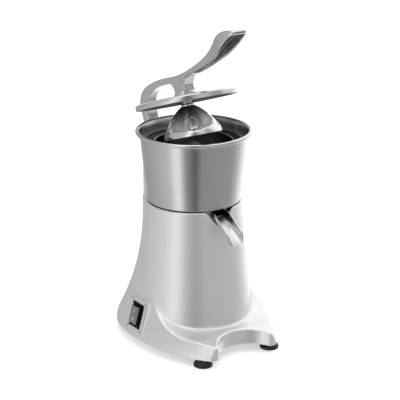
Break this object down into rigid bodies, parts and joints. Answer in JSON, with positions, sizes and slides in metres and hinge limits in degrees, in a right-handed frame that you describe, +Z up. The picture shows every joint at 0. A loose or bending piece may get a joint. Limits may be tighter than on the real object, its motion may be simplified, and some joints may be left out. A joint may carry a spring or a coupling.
{
  "type": "electric lever citrus juicer",
  "caption": "Electric lever citrus juicer: flared silver housing, tapered steel bowl with spout, and a hinged lever carrying a splash lid and pressing dome.",
  "frame": {"origin": "on the drive axis at floor level, which is the middle of the outline to within a few millimetres", "axes": "+Z up along the drive axis; -Y towards the spout and the lever grip; -X towards the switch side"},
  "size_m": [0.2153, 0.2764, 0.496],
  "materials": {
    "silver_lacquer": "silver lacquer over cast aluminium, satin gloss",
    "bowl_steel": "stainless steel, brushed round",
    "lid_steel": "stainless steel, fine turned",
    "dome_chrome": "mirror polished steel",
    "lever_alloy": "cast alloy, satin",
    "foot_rubber": "black rubber",
    "switch_black": "black moulding, satin",
    "switch_grey": "grey moulding",
    "boot_clear": "smoky clear elastomer",
    "reamer_plastic": "white food-grade moulding",
    "plated_steel": "zinc plated steel",
    "base_steel": "grey coated sheet",
    "bracket_alloy": "as cast alloy",
    "lamination": "varnished electrical steel",
    "winding_copper": "enamelled copper",
    "bearing_steel": "ground bearing steel",
    "seal_rubber": "black nitrile",
    "fan_plastic": "black glass-filled moulding",
    "capacitor_case": "white moulded can",
    "gland_plastic": "black moulding",
    "bush_bronze": "sintered bronze"
  },
  "bodies": {
    "base": {"housing": "silver_lacquer", "base_plate": "base_steel", "base_plate_screws": "plated_steel", "foot_front_left": "foot_rubber", "foot_front_right": "foot_rubber", "foot_rear_left": "foot_rubber", "foot_rear_right": "foot_rubber", "foot_screws": "plated_steel", "foot_nuts": "plated_steel", "bowl": "bowl_steel", "spout_chute": "bowl_steel", "strainer": "bowl_steel", "shaft_seal": "seal_rubber", "motor_upper_bracket": "bracket_alloy", "motor_lower_bracket": "bracket_alloy", "motor_stator": "lamination", "stator_windings": "winding_copper", "upper_bearing": "bearing_steel", "lower_bearing": "bearing_steel", "motor_bolts": "plated_steel", "motor_mount_screws": "plated_steel", "run_capacitor": "capacitor_case", "capacitor_strap": "plated_steel", "hinge_pin": "plated_steel", "hinge_clips": "plated_steel", "switch_bezel": "switch_black", "switch_body": "switch_black", "switch_boot": "boot_clear", "rocker_pin": "plated_steel", "cable_gland": "gland_plastic", "gland_nut": "gland_plastic"},
    "rotor": {"drive_shaft": "plated_steel", "rotor_core": "lamination", "cooling_fan": "fan_plastic", "reamer": "reamer_plastic", "drive_pin": "plated_steel"},
    "lever": {"lever_arm": "lever_alloy", "hinge_bushes": "bush_bronze", "splash_lid": "lid_steel", "lid_collar": "lever_alloy", "dome_stem": "dome_chrome", "dome": "dome_chrome"},
    "rocker": {"switch_rocker": "switch_grey"}
  },
  "joints": [
    {"name": "lever_hinge", "type": "hinge", "parent": "base", "child": "lever", "pos_m": [0, 0.112, 0.2914], "axis": [-1, 0, 0], "range_deg": [-20, 45]},
    {"name": "drive_spin", "type": "hinge", "parent": "base", "child": "rotor", "pos_m": [0, 0, 0.2], "axis": [0, 0, 1], "continuous": true},
    {"name": "rocker_tilt", "type": "hinge", "parent": "base", "child": "rocker", "pos_m": [-0.09227, 0.0065, 0.04453], "axis": [0, -1, 0], "range_deg": [-16, 0]}
  ]
}
